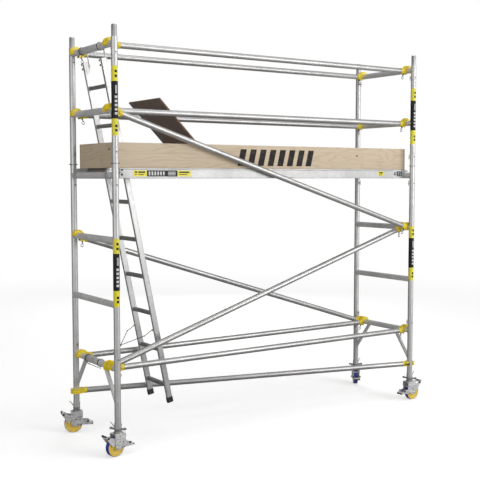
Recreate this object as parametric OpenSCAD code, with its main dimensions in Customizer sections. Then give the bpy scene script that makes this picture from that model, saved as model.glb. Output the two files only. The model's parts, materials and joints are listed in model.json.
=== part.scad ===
// Mobile H-frame scaffold tower on four braked castors, in millimetres.
// X runs along the tower, Y across it, Z is up; the origin is on the floor under the tower's centre.
// The end frames stand at -X and +X. The ladder and the open hatch are at the -X end.

/* [Tower] */
// Length between the post centres of the two end frames
tower_l = 3145; // [2700:5:3400]
// Width between the post centres of one end frame
tower_w = 785; // [760:5:860]
// Height of the lowest rung above the floor
base_z = 680; // [660:5:720]
// Spacing of the frame rungs
rung_pitch = 500; // [490:1:510]
// Height where the guard frame stands on the lower frame
joint_z = 2228; // [2222:1:2234]
// Height of the post tops
post_top = 3226; // [3215:1:3240]
// Length of spigot that stands out of each post top
spigot_out = 93; // [60:1:120]

/* [Tubes] */
// Outside diameter of posts and rungs
post_od = 50.8; // [50.8:0.1:50.9]
// Wall of posts and rungs
post_wall = 3.15; // [2.6:0.05:3.6]
// Outside diameter of rails and diagonals
brace_od = 48.3; // [44:0.1:48.4]
// Wall of rails and diagonals
brace_wall = 2.9; // [2:0.1:4]
// Outside diameter of the knee braces
knee_od = 34; // [28:1:38]

/* [Claws] */
// Width of a claw along the tube it grips
claw_w = 40; // [36:1:41]
// Outside radius of the hook
hook_r = 48; // [40:1:50]
// Distance from the gripped tube's axis to the end of the collar
claw_len = 88; // [84:1:100]
// Diameter of the collar
collar_od = 51; // [49:0.5:52]
// Drop of the brace axis below the gripped tube's axis
brace_drop = 4; // [3:0.5:5]

/* [Platform] */
// Height of the deck surface
deck_z = 2238; // [2232:1:2242]
// Outside face of the side beams from the centreline
beam_y = 316; // [310:1:318]
// Height of the side beams
beam_h = 82; // [70:1:90]
// Length of the hatch, from hinge axis to free edge
hatch_len = 790; // [700:1:792]
// Width of the hatch
hatch_w = 532; // [480:1:534]
// Angle to which the hatch stands open
hatch_open = 45.2; // [10:0.1:90]
// Height of the toe boards
toe_h = 198; // [150:1:220]

/* [Ladder] */
// Lean of the ladder from upright
lean = 11.7; // [9:0.1:13]
// Depth of a stile
stile_d = 46; // [40:1:50]
// Width of a stile
stile_t = 25; // [20:1:28]
// Distance between the stile centres
ladder_w = 336; // [300:1:360]
// Spacing of the ladder rungs
ladder_pitch = 313; // [280:1:320]
// Height of the ladder's foot above the floor
foot_z = 287; // [250:1:300]

/* [Castors] */
// Wheel diameter
wheel_d = 150; // [150:1:150]
// Wheel width
wheel_w = 40; // [34:1:44]
// Distance of the wheel centre behind the swivel axis
trail = 30; // [26:1:32]

/* [Hidden] */
$fn = 48;
tiny = 0.01;
post_r = post_od / 2;
post_id = post_od - 2 * post_wall;
spigot_d = post_id - 0.6;
half_l = tower_l / 2;
half_w = tower_w / 2;
mid_y = 32;
post_bottom = 219;
foot_collar_od = 57;
foot_collar_h = 37;
joint_gap = 0.4;
lower_rungs = [for (i = [0:3]) base_z + i * rung_pitch];
guard_rungs = [for (i = [0:1]) joint_z + 454 + i * rung_pitch];
// [name, x sign, y sign, turn of the castor, turn of its nut]
posts = [["nl", -1, -1, 189, -50], ["rl", -1, 1, 158, -100], ["nr", 1, -1, 0, -62], ["rr", 1, 1, 56, -30]];
pin_zs = [base_z + 77, joint_z - 121, joint_z + 132, post_top - 116];
leg_pin_z = 238;
leg_pin_d = 8;
lock_d = 9;
// Each brace: [name, y, rung height at -X, rung height at +X]
braces = [
    ["top_near", -305, guard_rungs[1], guard_rungs[1]],
    ["top_rear", 320, guard_rungs[1], guard_rungs[1]],
    ["mid_near", -297, guard_rungs[0], guard_rungs[0]],
    ["mid_rear", 318, guard_rungs[0], guard_rungs[0]],
    ["base_near", -320, lower_rungs[0], lower_rungs[0]],
    ["base_rear", 266, lower_rungs[0], lower_rungs[0]],
    ["upper_diag", -345, guard_rungs[0], lower_rungs[2]],
    ["lower_diag", -262, lower_rungs[0], lower_rungs[2]],
    ["rear_diag", 318, lower_rungs[2], lower_rungs[0]]
];
plan_z = 356;
plan_reach = norm([tower_l, tower_w]);
plan_turn = -atan(tower_w / tower_l) - asin(2 * brace_drop / plan_reach);
plan_l = sqrt(pow(plan_reach, 2) - pow(2 * brace_drop, 2));
brace_start = 70;
trigger_pin = [46, -23];
trigger_pin_d = 6;
// Platform
hinge = [-549, deck_z + 7.5];
ply = 12;
beam_w = 45;
beam_x = [-1500, 1405];
well_x = [-1440, -545];
hook_y = beam_y - beam_w / 2;
cross_gap = 0.2;
toe_y = 312;
toe_t = 22;
toe_x = 1550;
// Ladder
ladder_y = 20;
sleeve_od = 58;
top_rung = guard_rungs[1];
ladder_offset = sleeve_od / 2 - stile_d / 2;
ladder_s = (top_rung + ladder_offset * sin(lean) - foot_z) / cos(lean);
foot_x = -half_l + ladder_offset * cos(lean) + ladder_s * sin(lean);
stile_len = 2868;
stay_s = 640;
stay_x = -stile_d / 2 - 7;
stay_wire = 6;
stay_y = 152;
// Castor heights
axle_z = wheel_d / 2;
tyre_r = wheel_d / 2 - 3.5;
crown_z = 182;
race_h = 5;
flange_z = crown_z + race_h + 0.5;
nut_z = [201, 218];
brake_pin = [8, 118];
stem_d = 38;

// ---- shared shapes ----

// Round tube standing on the XY plane
module tube(od, id, h) difference() {
    cylinder(d = od, h = h);
    translate([0, 0, -1]) cylinder(d = id, h = h + 2);
}

// Solid rod between two points
module rod(a, b, d) {
    v = b - a;
    translate(a) rotate([0, acos(v[2] / norm(v)), atan2(v[1], v[0])]) cylinder(d = d, h = norm(v));
}

// Rod along Y, centred
module rod_y(d, len) rotate([90, 0, 0]) cylinder(d = d, h = len, center = true);

// An outline drawn in X and Z, made w wide along Y
module along_y(w) rotate([90, 0, 0]) linear_extrude(w, center = true) children();

// Bar with round ends, flat
module bar2d(a, b, w) {
    v = (b - a) / norm(b - a) * w / 2;
    n = [-v[1], v[0]];
    polygon([a + n, b + n, b - n, a - n]);
    translate(a) circle(d = w);
    translate(b) circle(d = w);
}

// Rectangle with round corners, centred
module round_rect(w, h, r) {
    square([w - 2 * r, h], center = true);
    square([w, h - 2 * r], center = true);
    for (x = [-1, 1], y = [-1, 1]) translate([x * (w / 2 - r), y * (h / 2 - r)]) circle(r = r);
}

module at_posts() for (p = posts) translate([p[1] * half_l, p[2] * half_w, 0]) children();

// Rungs and posts as solid cylinders, for coping one tube against another
module post_cores() at_posts() cylinder(d = post_od, h = post_top + 10);

module lock_bores(d = lock_d) at_posts() {
    for (z = pin_zs) translate([0, 0, z]) rod_y(d, post_od + 4);
    translate([0, 0, leg_pin_z]) rotate([0, 90, 0]) cylinder(d = leg_pin_d, h = post_od + 10, center = true);
}

// ---- end frames ----

// Eight posts: four of the lower frames, with a collar round each foot, and four of the guard frames
module standards() color("silver") difference() {
    at_posts() {
        translate([0, 0, post_bottom]) difference() {
            union() {
                cylinder(d = post_od, h = joint_z - post_bottom);
                cylinder(d = foot_collar_od, h = foot_collar_h);
            }
            translate([0, 0, -1]) cylinder(d = post_id, h = joint_z);
        }
        translate([0, 0, joint_z + joint_gap]) tube(post_od, post_id, post_top - joint_z - joint_gap);
    }
    lock_bores();
}

// Six rungs in each end, coped to the posts
module frame_rungs() color("darkgray") difference() {
    for (x = [-half_l, half_l], z = concat(lower_rungs, guard_rungs))
        translate([x, 0, z]) rotate([90, 0, 0]) translate([0, 0, -half_w]) tube(post_od, post_id, tower_w);
    post_cores();
}

// Knee braces from the base rung out to the posts
module knee_braces() color("darkgray") difference() {
    for (x = [-half_l, half_l], s = [-1, 1])
        difference() {
            rod([x, s * 172, base_z], [x, s * half_w, 392], knee_od);
            rod([x, s * 160, base_z + 15], [x, s * (half_w + 10), 378], knee_od - 6);
        }
    post_cores();
    for (x = [-half_l, half_l]) translate([x, 0, base_z]) rod_y(post_od, tower_w);
}

// Spigots that join the frames, and the four that stand out of the post tops
module spigots() color("gainsboro") difference() {
    at_posts() {
        translate([0, 0, joint_z - 148]) tube(post_id, post_id - 6, 310);
        translate([0, 0, post_top - 146]) difference() {
            union() {
                cylinder(d = post_id, h = 146);
                cylinder(d = spigot_d, h = 146 + spigot_out - 8);
                translate([0, 0, 146 + spigot_out - 8]) cylinder(d1 = spigot_d, d2 = post_id - 7, h = 8);
            }
            translate([0, 0, -1]) cylinder(d = post_id - 7, h = 150 + spigot_out);
        }
    }
    lock_bores();
}

// Pins with a T handle on the inner side, a clip band above each frame joint,
// and the pin with a raised wire handle that holds each castor leg
module lock_pins() color("dimgray") for (p = posts) translate([p[1] * half_l, p[2] * half_w, 0]) {
    for (z = pin_zs) translate([0, 0, z]) {
        rod([0, p[2] * (post_r + 3), 0], [0, -p[2] * (post_r + 19), 0], lock_d);
        rod([0, p[2] * post_r, 0], [0, p[2] * (post_r + 3), 0], 13);
        translate([0, -p[2] * (post_r + 19), -22]) cylinder(d = 6, h = 44);
    }
    translate([0, 0, joint_z + 42]) {
        tube(post_od + 5, post_od, 4);
        for (s = [-1, 1]) translate([s * (post_r + 5), 0, 2]) rotate([0, 90, 0])
            cylinder(d = 11, h = 8, center = true);
    }
    rod([-p[1] * (post_r + 8), 0, leg_pin_z], [p[1] * (post_r + 14), 0, leg_pin_z], leg_pin_d);
    rod([p[1] * (post_r + 10), 0, leg_pin_z + 2], [p[1] * (post_r + 38), 0, leg_pin_z + 38], 6);
}

// ---- braces ----

// Places its children with X along the brace from the gripped tube, Y along that tube
module at_claw(b, e) {
    a = atan((b[3] - b[2]) / tower_l);
    side = e == "l" ? -1 : 1;
    translate([side * half_l, b[1], e == "l" ? b[2] : b[3]]) rotate([0, -a, 0])
        rotate([0, 0, e == "l" ? 0 : 180]) children();
}

module at_plan_claw(e) {
    side = e == "l" ? -1 : 1;
    translate([side * half_l, -side * half_w, plan_z]) rotate([0, 0, plan_turn + (e == "l" ? 0 : 180)])
        rotate([90, 0, 0]) children();
}

// Outline of a claw's hook: round over the tube, open below, with a root towards the collar
module hook_outline(r) difference() {
    union() {
        circle(r = r);
        polygon([[12, r - 2], [58, 21], [64, 21], [64, -29], [58, -33], [28, -33], [0, -8]]);
    }
    circle(r = post_r);
    translate([-post_r, -60]) square([2 * post_r, 60]);
    translate([-60, -60]) square([60 - post_r + tiny, 46]);
}

// Cast claw with three rims, a collar for the brace tube, and a slot and pin for its trigger
module claw() {
    difference() {
        union() {
            along_y(claw_w - 10) hook_outline(hook_r - 3.5);
            for (s = [-1, 0, 1]) translate([0, s * (claw_w / 2 - 3.5), 0]) along_y(7) hook_outline(hook_r);
            translate([56, 0, -brace_drop]) rotate([0, 90, 0]) cylinder(d = collar_od, h = claw_len - 56);
        }
        translate([brace_start, 0, -brace_drop]) rotate([0, 90, 0]) cylinder(d = brace_od, h = 40);
        translate([20, -6, -60]) cube([brace_start - 21, 12, 48]);
    }
    translate([trigger_pin[0], 0, trigger_pin[1]]) rod_y(trigger_pin_d, claw_w - 2);
}

module brace_tube(len) translate([brace_start, 0, -brace_drop]) rotate([0, 90, 0])
    tube(brace_od, brace_od - 2 * brace_wall, len - 2 * brace_start);

// Six level rails
module horizontal_rails() color("silver") for (i = [0:5]) at_claw(braces[i], "l") brace_tube(tower_l);

// Three upright diagonals and the plan brace that crosses between two posts
module diagonal_braces() color("silver") {
    for (i = [6:8]) at_claw(braces[i], "l")
        brace_tube(norm([tower_l, braces[i][3] - braces[i][2]]));
    at_plan_claw("l") brace_tube(plan_l);
}

// Twenty claws
module brace_claws() color("gold") {
    for (b = braces, e = ["l", "r"]) at_claw(b, e) claw();
    for (e = ["l", "r"]) at_plan_claw(e) claw();
}

// Sprung trigger: latch arm under the gripped tube, hub on the claw's pin, and a tail to squeeze
module trigger() color("#2b2b2b") difference() {
    union() {
        along_y(10) {
            bar2d(trigger_pin, [16, -31], 8);
            bar2d(trigger_pin, [52, -42], 8);
            translate(trigger_pin) circle(r = 7);
        }
        along_y(5) bar2d([52, -42], [64, -58], 5);
    }
    translate([trigger_pin[0], 0, trigger_pin[1]]) rod_y(trigger_pin_d + 0.1, 20);
}

// ---- platform ----

// Two side beams, hollow, with a ledge for the hatch, and four cross members
module platform_beams() color("gainsboro") {
    for (s = [-1, 1]) translate([beam_x[0], s * hook_y - beam_w / 2, deck_z - beam_h]) {
        difference() {
            cube([beam_x[1] - beam_x[0], beam_w, beam_h]);
            translate([-1, 2.5, 2.5]) cube([beam_x[1] - beam_x[0] + 2, beam_w - 5, beam_h - 5]);
        }
        translate([60, s < 0 ? beam_w : -12, beam_h - ply - 6]) cube([895, 12, 4]);
    }
    for (x = [-1485, -540, 430, 1370]) translate([x, -hook_y + beam_w / 2 + cross_gap, deck_z - ply - 36])
        cube([30, 2 * hook_y - beam_w - 2 * cross_gap, 36]);
}

// Outline of a hook casting over a frame rung; reach is the distance to the beam's end
module platform_hook_outline(reach) difference() {
    polygon([[-36, -20], [-36, 12], [-31, 38], [-16, 55], [0, 58], [reach, 58], [reach, -24],
             [reach * 0.6, -22], [46, -24], [26, -24]]);
    circle(r = post_r);
    translate([-post_r, -60]) square([2 * post_r, 60]);
}

module platform_hook(reach) difference() {
    union() {
        along_y(30) platform_hook_outline(reach);
        for (s = [-1, 1]) translate([0, s * 16, 0]) along_y(4) difference() {
            platform_hook_outline(reach);
            if (reach > 100) for (x = [0:2]) translate([66 + 24 * x, 17]) square([16, 48], center = true);
        }
    }
    for (x = [-14, 8]) translate([x, 0, 42]) rod_y(9, 50);
}

// Hook castings at the four beam ends, longer at +X
module platform_hooks() color("darkgray") for (s = [-1, 1]) {
    translate([-half_l, s * hook_y, lower_rungs[3]]) platform_hook(half_l + beam_x[0]);
    translate([half_l, s * hook_y, lower_rungs[3]]) rotate([0, 0, 180]) platform_hook(half_l - beam_x[1]);
}

// Plywood deck, in two pieces either side of the hatch opening
module deck_panels() color("#4a3b35") {
    inner = 2 * (beam_y - beam_w);
    translate([beam_x[0], -inner / 2, deck_z - ply]) cube([well_x[0] - beam_x[0], inner, ply]);
    translate([well_x[1], -inner / 2, deck_z - ply]) cube([beam_x[1] - well_x[1] - 5, inner, ply]);
}

hinge_ys = [-180, 180];

// Fixed hinge leaves with two knuckles each and the hinge pins
module hatch_hinges() color("silver") for (y = hinge_ys) translate([hinge[0], y, hinge[1]]) {
    difference() {
        union() for (s = [-1, 1]) translate([0, s * 30, 0]) rod_y(14, 19);
        rod_y(6, 90);
    }
    difference() {
        translate([0, -39.5, -7.5]) cube([46, 79, 3]);
        translate([-1, -20.5, -9]) cube([10, 41, 6]);
        for (s = [-1, 1]) translate([0, s * 30, 0]) rod_y(14, 19);
    }
    rod_y(6, 84);
}

// Hatch panel standing open, with its knuckles and leaves
module hatch() color("#4a3b35") translate([hinge[0], 0, hinge[1]]) rotate([0, hatch_open, 0]) {
    translate([-hatch_len, -hatch_w / 2, -7.5 - ply]) cube([hatch_len - 4, hatch_w, ply]);
    for (y = hinge_ys) translate([0, y, 0]) difference() {
        union() {
            rod_y(14, 40);
            translate([-46, -20, -7.5]) cube([46, 40, 3]);
        }
        rod_y(6.1, 60);
    }
}

// Four boards on edge: two along the sides and two between them at the ends
module toe_boards() color("burlywood") {
    for (s = [-1, 1]) translate([-toe_x, s * (toe_y - toe_t / 2) - toe_t / 2, deck_z])
        cube([2 * toe_x, toe_t, toe_h]);
    for (s = [-1, 1]) translate([s * (toe_x - toe_t / 2) - toe_t / 2, -toe_y + toe_t + 0.5, deck_z])
        cube([toe_t, 2 * (toe_y - toe_t) - 1, toe_h]);
}

// ---- ladder ----

// Ladder frame: origin at the foot, Z up the stiles
module at_ladder() translate([foot_x, ladder_y, foot_z]) rotate([0, -lean, 0]) children();

module ladder_stiles() color("silver") at_ladder() for (s = [-1, 1])
    translate([0, s * ladder_w / 2, 25]) linear_extrude(stile_len - 25) difference() {
        square([stile_d, stile_t], center = true);
        square([stile_d - 5, stile_t - 5], center = true);
    }

module ladder_rungs() color("silver") at_ladder() for (i = [0:8])
    translate([0, 0, 150 + i * ladder_pitch]) rotate([90, 0, 0])
        linear_extrude(ladder_w - stile_t, center = true) difference() {
            round_rect(33, 31, 9);
            round_rect(29, 27, 7);
        }

// Sleeve on a frame rung
module rung_sleeve(z, y, len) translate([-half_l, y, z]) rotate([90, 0, 0])
    translate([0, 0, -len / 2]) tube(sleeve_od, post_od, len);

top_sleeve_l = 350;
base_sleeve_l = 250;

// Sleeves on the top and base rungs, hook straps, clamp bolts, the stay's ears and a bail
module ladder_fittings() color("gainsboro") {
    rung_sleeve(top_rung, ladder_y, top_sleeve_l);
    rung_sleeve(base_z, ladder_y, base_sleeve_l);
    at_ladder() for (s = [-1, 1]) translate([0, s * 156, 0]) {
        translate([stile_d / 2, -8, stile_len - 55]) cube([5, 16, ladder_s - stile_len + 55]);
        translate([-ladder_offset, 0, ladder_s]) along_y(16) difference() {
            circle(r = sleeve_od / 2 + 5);
            circle(r = sleeve_od / 2);
            translate([-60, -60]) square([120, 60]);
            translate([-60, -20]) square([52, 120]);
        }
    }
    at_ladder() for (s = [-1, 1], z = [15, 52])
        translate([-stile_d / 2, s * ladder_w / 2, stile_len - z])
            rotate([0, -90, 0]) cylinder(d = 14, h = 12);
    at_ladder() for (s = [-1, 1]) difference() {
        translate([stay_x - 8, s * (stay_y + 7) - 2, stay_s - 9]) cube([15, 4, 18]);
        translate([stay_x, s * (stay_y + 7), stay_s]) rod_y(stay_wire + 0.1, 10);
    }
    translate([-half_l, ladder_y, base_z]) {
        for (s = [-1, 1]) rod([0, s * 112, -sleeve_od / 2], [0, s * 112, -47], stay_wire);
        translate([0, 0, -47]) rod_y(stay_wire, 224 + stay_wire);
    }
}

// Rubber rings at the sleeve ends and rubber feet
module ladder_rubbers() color("#1c1c1c") {
    for (s = [-1, 1]) {
        rung_ring(top_rung, s * (top_sleeve_l / 2 - 6));
        rung_ring(base_z, s * (base_sleeve_l / 2 - 6));
    }
    at_ladder() for (s = [-1, 1]) translate([0, s * ladder_w / 2, 0]) difference() {
        linear_extrude(46) round_rect(stile_d + 6, stile_t + 6, 5);
        translate([-stile_d / 2, -stile_t / 2, 25]) cube([stile_d, stile_t, 40]);
    }
}

module rung_ring(z, y) translate([-half_l, ladder_y + y, z]) rotate([90, 0, 0])
    translate([0, 0, -3]) tube(sleeve_od + 8, sleeve_od, 6);

// Wire stay, bent to a V, that swings on the two ears
module ladder_stay() color("gray") at_ladder() translate([stay_x, 0, stay_s]) rotate([0, lean, 0]) {
    bend = [-72, 0, -43];
    apex = [-211, 0, -127];
    for (s = [-1, 1]) {
        side = [0, s * stay_y, 0];
        rod([0, s * (stay_y + 11), 0], side, stay_wire);
        translate(side) rod_y(stay_wire + 4, 9);
        rod(side, side + bend, stay_wire);
        translate(side + bend) rod_y(stay_wire + 3, 11);
        rod(side + bend, apex, stay_wire);
    }
    translate(apex) cylinder(d = 13, h = 18, center = true);
}

// ---- castors ----

// Castor frame: origin on the floor under the swivel axis, X towards the trailing wheel
module at_castor(p) translate([p[1] * half_l, p[2] * half_w, 0]) rotate([0, 0, p[3]]) children();

// Threaded stem with flange and kingpin
module castor_stems() color("gray") at_posts() {
    difference() {
        union() {
            translate([0, 0, 168]) cylinder(d = 32, h = 9.5);
            translate([0, 0, 170]) cylinder(d = 20, h = 30);
            translate([0, 0, flange_z]) cylinder(d = 62, h = 5.5);
            translate([0, 0, flange_z]) cylinder(d = stem_d, h = 230);
        }
        translate([0, 0, leg_pin_z]) rotate([0, 90, 0]) cylinder(d = leg_pin_d, h = 80, center = true);
    }
}

// Nut with two wings that carries the post on the stem
module leg_nut(p) color("darkgray") translate([p[1] * half_l, p[2] * half_w, 0]) rotate([0, 0, p[4]])
    difference() {
        union() {
            translate([0, 0, nut_z[0]]) cylinder(d = 58, h = nut_z[1] - nut_z[0]);
            for (s = [-1, 1]) along_y(13) {
                bar2d([s * 20, 209], [s * 58, 213], 15);
                translate([s * 60, 214]) circle(r = 10);
            }
        }
        cylinder(d = stem_d + 0.1, h = 300);
    }

// Pressed fork: crown, cheeks, race, axle and a brake pin in each cheek
module fork(p) color("gainsboro") at_castor(p) {
    difference() {
        union() {
            difference() {
                translate([-50, -38, 140]) cube([100, 76, crown_z - 140]);
                translate([-60, -35, 130]) cube([120, 70, crown_z - 134]);
            }
            for (s = [-1, 1]) translate([0, s * 33.5, 0]) along_y(3)
                polygon([[-49, 178.5], [47, 178.5], [46, 62], [38, 56], [-20, 60], [-49, 69]]);
            translate([0, 0, crown_z - tiny]) cylinder(d = 70, h = race_h + tiny);
        }
        translate([0, 0, 150]) cylinder(d = 20.1, h = 50);
    }
    translate([trail, 0, axle_z]) {
        rod_y(12, 84);
        for (s = [-1, 1]) {
            translate([0, s * 28.4, 0]) rod_y(20, 7.4);
            translate([0, s * 38, 0]) rotate([90, 0, 0]) cylinder(d = 22, h = 6, center = true, $fn = 6);
        }
    }
    translate([brake_pin[0], 0, brake_pin[1]]) {
        for (s = [-1, 1]) {
            translate([0, s * 31, 0]) rod_y(8, 14);
            translate([0, s * 37, 0]) rod_y(14, 4);
        }
    }
    for (q = [[-26, 112], [-14, 71], [-34, 71]], s = [-1, 1])
        translate([q[0], s * 36.5, q[1]]) rod_y(8, 3);
}

// Outline of a brake side plate, from the raised trailing pedal to the low leading one
module brake_outline() polygon([[124, 181], [134, 171], [96, 118], [62, 82], [50, 100], [10, 100],
    [-16, 90], [-50, 66], [-128, 67], [-136, 80], [-90, 105], [-48, 108], [-30, 140], [40, 150], [84, 158]]);

// Two-ended brake: side plates inside the cheeks, a tread at each end, and the shoe bar
module brake(p) color("silver") at_castor(p) difference() {
    union() {
        for (s = [-1, 1]) translate([0, s * 29.5, 0]) along_y(3) brake_outline();
        along_y(58) bar2d([-131, 74], [-108, 85], 6);
        along_y(58) bar2d([127, 174], [112, 164], 6);
        translate([-30, 0, 128]) rod_y(9, 58);
        for (s = [-1, 1]) {
            translate([-92, s * 34, 96]) rod_y(14, 8);
            translate([110, s * 34, 160]) rod_y(14, 8);
        }
    }
    translate([brake_pin[0], 0, brake_pin[1]]) rod_y(8.1, 80);
}

// Tyre with a groove round its tread
module tyre(p) color("#1b2a9c") at_castor(p) translate([trail, 0, axle_z]) rotate([90, 0, 0])
    rotate_extrude() polygon([
        [tyre_r, -wheel_w / 2], [wheel_d / 2 - 1.5, -wheel_w / 2], [wheel_d / 2, -wheel_w / 2 + 3],
        [wheel_d / 2, -2], [wheel_d / 2 - 2.2, 0], [wheel_d / 2, 2], [wheel_d / 2, wheel_w / 2 - 3],
        [wheel_d / 2 - 1.5, wheel_w / 2], [tyre_r, wheel_w / 2]]);

// One face of the wheel centre as radius and height: boss, recessed web, two raised rings and the rim
function hub_face(side) = [[0, 24 * side], [17, 24 * side], [19, 18 * side], [29, 15 * side], [46, 15 * side],
    [51, 19 * side], [60, 19 * side], [62, 17.5 * side], [66, 17.5 * side],
    [68, 19.7 * side], [tyre_r, 19.7 * side]];

// Wheel centre with a stepped face and a bored boss
module hub(p) color("goldenrod") at_castor(p) translate([trail, 0, axle_z]) rotate([90, 0, 0]) difference() {
    rotate_extrude() polygon(concat(hub_face(-1), [for (i = [len(hub_face(1)) - 1:-1:0]) hub_face(1)[i]]));
    cylinder(d = 12.1, h = 60, center = true);
}

// Origin on the floor at the middle of the footprint, which is mid_y behind the middle of the posts
module in_frame() translate([0, -mid_y, 0]) children();

in_frame() standards();
in_frame() frame_rungs();
in_frame() knee_braces();
in_frame() spigots();
in_frame() lock_pins();
in_frame() horizontal_rails();
in_frame() diagonal_braces();
in_frame() brace_claws();
in_frame() platform_beams();
in_frame() platform_hooks();
in_frame() deck_panels();
in_frame() hatch_hinges();
in_frame() hatch();
in_frame() toe_boards();
in_frame() ladder_stiles();
in_frame() ladder_rungs();
in_frame() ladder_fittings();
in_frame() ladder_rubbers();
in_frame() ladder_stay();
in_frame() castor_stems();
for (b = braces, e = ["l", "r"])
    in_frame() at_claw(b, e) trigger();
for (e = ["l", "r"])
    in_frame() at_plan_claw(e) trigger();
for (p = posts) {
    in_frame() fork(p);
    in_frame() brake(p);
    in_frame() tyre(p);
    in_frame() hub(p);
    in_frame() leg_nut(p);
}
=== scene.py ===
"""The looks of a mobile scaffold tower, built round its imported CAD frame. Lengths are in metres.

+X runs along the tower, +Y to its rear, +Z up, and the floor is at z = 0.
"""

import json
import random
from math import asin, atan, atan2, cos, hypot, pi, radians, sin, sqrt

import bmesh
import bpy
from mathutils import Matrix, Vector


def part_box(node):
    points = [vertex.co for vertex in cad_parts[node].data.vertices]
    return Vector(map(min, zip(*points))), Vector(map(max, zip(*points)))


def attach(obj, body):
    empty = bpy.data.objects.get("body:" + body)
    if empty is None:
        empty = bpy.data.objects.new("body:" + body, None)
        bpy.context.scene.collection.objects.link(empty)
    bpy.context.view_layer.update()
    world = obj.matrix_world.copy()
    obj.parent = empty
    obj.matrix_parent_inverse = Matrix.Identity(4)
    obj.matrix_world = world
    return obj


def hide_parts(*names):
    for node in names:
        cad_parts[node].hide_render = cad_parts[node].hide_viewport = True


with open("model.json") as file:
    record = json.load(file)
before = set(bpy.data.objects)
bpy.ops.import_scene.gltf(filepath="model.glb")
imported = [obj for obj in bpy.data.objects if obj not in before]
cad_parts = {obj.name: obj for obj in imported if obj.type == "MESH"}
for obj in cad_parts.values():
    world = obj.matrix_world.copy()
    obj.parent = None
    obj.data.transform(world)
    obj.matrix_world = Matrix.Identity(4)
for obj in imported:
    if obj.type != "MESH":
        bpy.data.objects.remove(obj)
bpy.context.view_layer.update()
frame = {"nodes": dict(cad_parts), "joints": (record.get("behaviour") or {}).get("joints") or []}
nodes = frame["nodes"]
joints = {j["name"]: j for j in frame["joints"]}
rng = random.Random(7)

# ---- sizes that the pieces share, from the frame where it has them ----

POST_R = 0.0254
CORNERS = ["nl", "rl", "nr", "rr"]
# Below, every place is measured from the middle of the four posts; MIDDLE is where that is in the frame.
swivels = {c: Vector(joints[f"swivel_{c}"]["pos_m"]) for c in CORNERS}
MIDDLE = sum(swivels.values(), Vector()) / 4
MIDDLE.z = 0
posts = {c: (swivels[c] - MIDDLE).xy for c in CORNERS}
HALF_L = posts["nr"].x
HALF_W = posts["rr"].y


def node_box(name):
    """A CAD node's low and high corners, measured from MIDDLE."""
    low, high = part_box(name)
    return low - MIDDLE, high - MIDDLE


BASE_Z, PITCH, JOINT_Z = 0.680, 0.500, 2.228
RUNG_Z_DECK = BASE_Z + 3 * PITCH
RUNG_ZS = [BASE_Z + i * PITCH for i in range(4)] + [JOINT_Z + 0.454 + i * PITCH for i in range(2)]
DECK_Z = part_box("deck_panels")[1].z
HINGE = Vector(joints["hatch_hinge"]["pos_m"]) - MIDDLE
HATCH_OPEN = radians(-joints["hatch_hinge"]["range_deg"][0])
LEAN = radians(11.7)
LADDER_FOOT = Vector((-0.9668, 0.020, 0.287))
LADDER_W, STILE_D, STILE_T, STILE_LEN = 0.336, 0.046, 0.025, 2.868
LADDER_RUNGS = [0.150 + i * 0.313 for i in range(9)]
# Each brace: name, y, rung height at -X, rung height at +X
BRACES = [
    ("top_near", -0.305, RUNG_ZS[5], RUNG_ZS[5]),
    ("top_rear", 0.320, RUNG_ZS[5], RUNG_ZS[5]),
    ("mid_near", -0.297, RUNG_ZS[4], RUNG_ZS[4]),
    ("mid_rear", 0.318, RUNG_ZS[4], RUNG_ZS[4]),
    ("base_near", -0.320, RUNG_ZS[0], RUNG_ZS[0]),
    ("base_rear", 0.266, RUNG_ZS[0], RUNG_ZS[0]),
    ("upper_diag", -0.345, RUNG_ZS[4], RUNG_ZS[2]),
    ("lower_diag", -0.262, RUNG_ZS[0], RUNG_ZS[2]),
    ("rear_diag", 0.318, RUNG_ZS[2], RUNG_ZS[0]),
]
PLAN_Z = 0.356
# How far a brace's axis lies below that of the tube its claw grips
BRACE_DROP = 0.004


def turn(angle, axis):
    return Matrix.Rotation(angle, 4, axis)


def facing(side):
    """Turns Z to point along +Y or -Y, as side is 1 or -1."""
    return turn(-side * pi / 2, "X")


def move(*v):
    return Matrix.Translation(Vector(v))


def full_turn(count):
    """Evenly spaced angles round a circle."""
    return [2 * pi * i / count for i in range(count)]


def claw_places():
    """Each claw's frame: X along its brace from the gripped tube, Y along that tube."""
    places = {}
    for name, y, z_left, z_right in BRACES:
        slope = atan((z_right - z_left) / (2 * HALF_L))
        places[name + "_l"] = move(-HALF_L, y, z_left) @ turn(-slope, "Y")
        places[name + "_r"] = move(HALF_L, y, z_right) @ turn(-slope, "Y") @ turn(pi, "Z")
    plan = -atan(HALF_W / HALF_L) - asin(BRACE_DROP / hypot(HALF_L, HALF_W))
    for side, sign in (("l", -1), ("r", 1)):
        half_turn = 0 if side == "l" else pi
        places["plan_" + side] = (move(sign * HALF_L, -sign * HALF_W, PLAN_Z) @ turn(plan + half_turn, "Z")
                                  @ turn(pi / 2, "X"))
    return places


def castor_place(corner):
    """A castor's frame: origin on the floor under the swivel, X towards the trailing wheel."""
    axle = joints[f"wheel_spin_{corner}"]["axis"]
    return move(*posts[corner], 0) @ turn(atan2(-axle[0], axle[1]), "Z")


HERE = Matrix.Identity(4)
LADDER = move(*LADDER_FOOT) @ turn(-LEAN, "Y")
HATCH = move(*HINGE) @ turn(HATCH_OPEN, "Y")


# ---- materials ----

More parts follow.
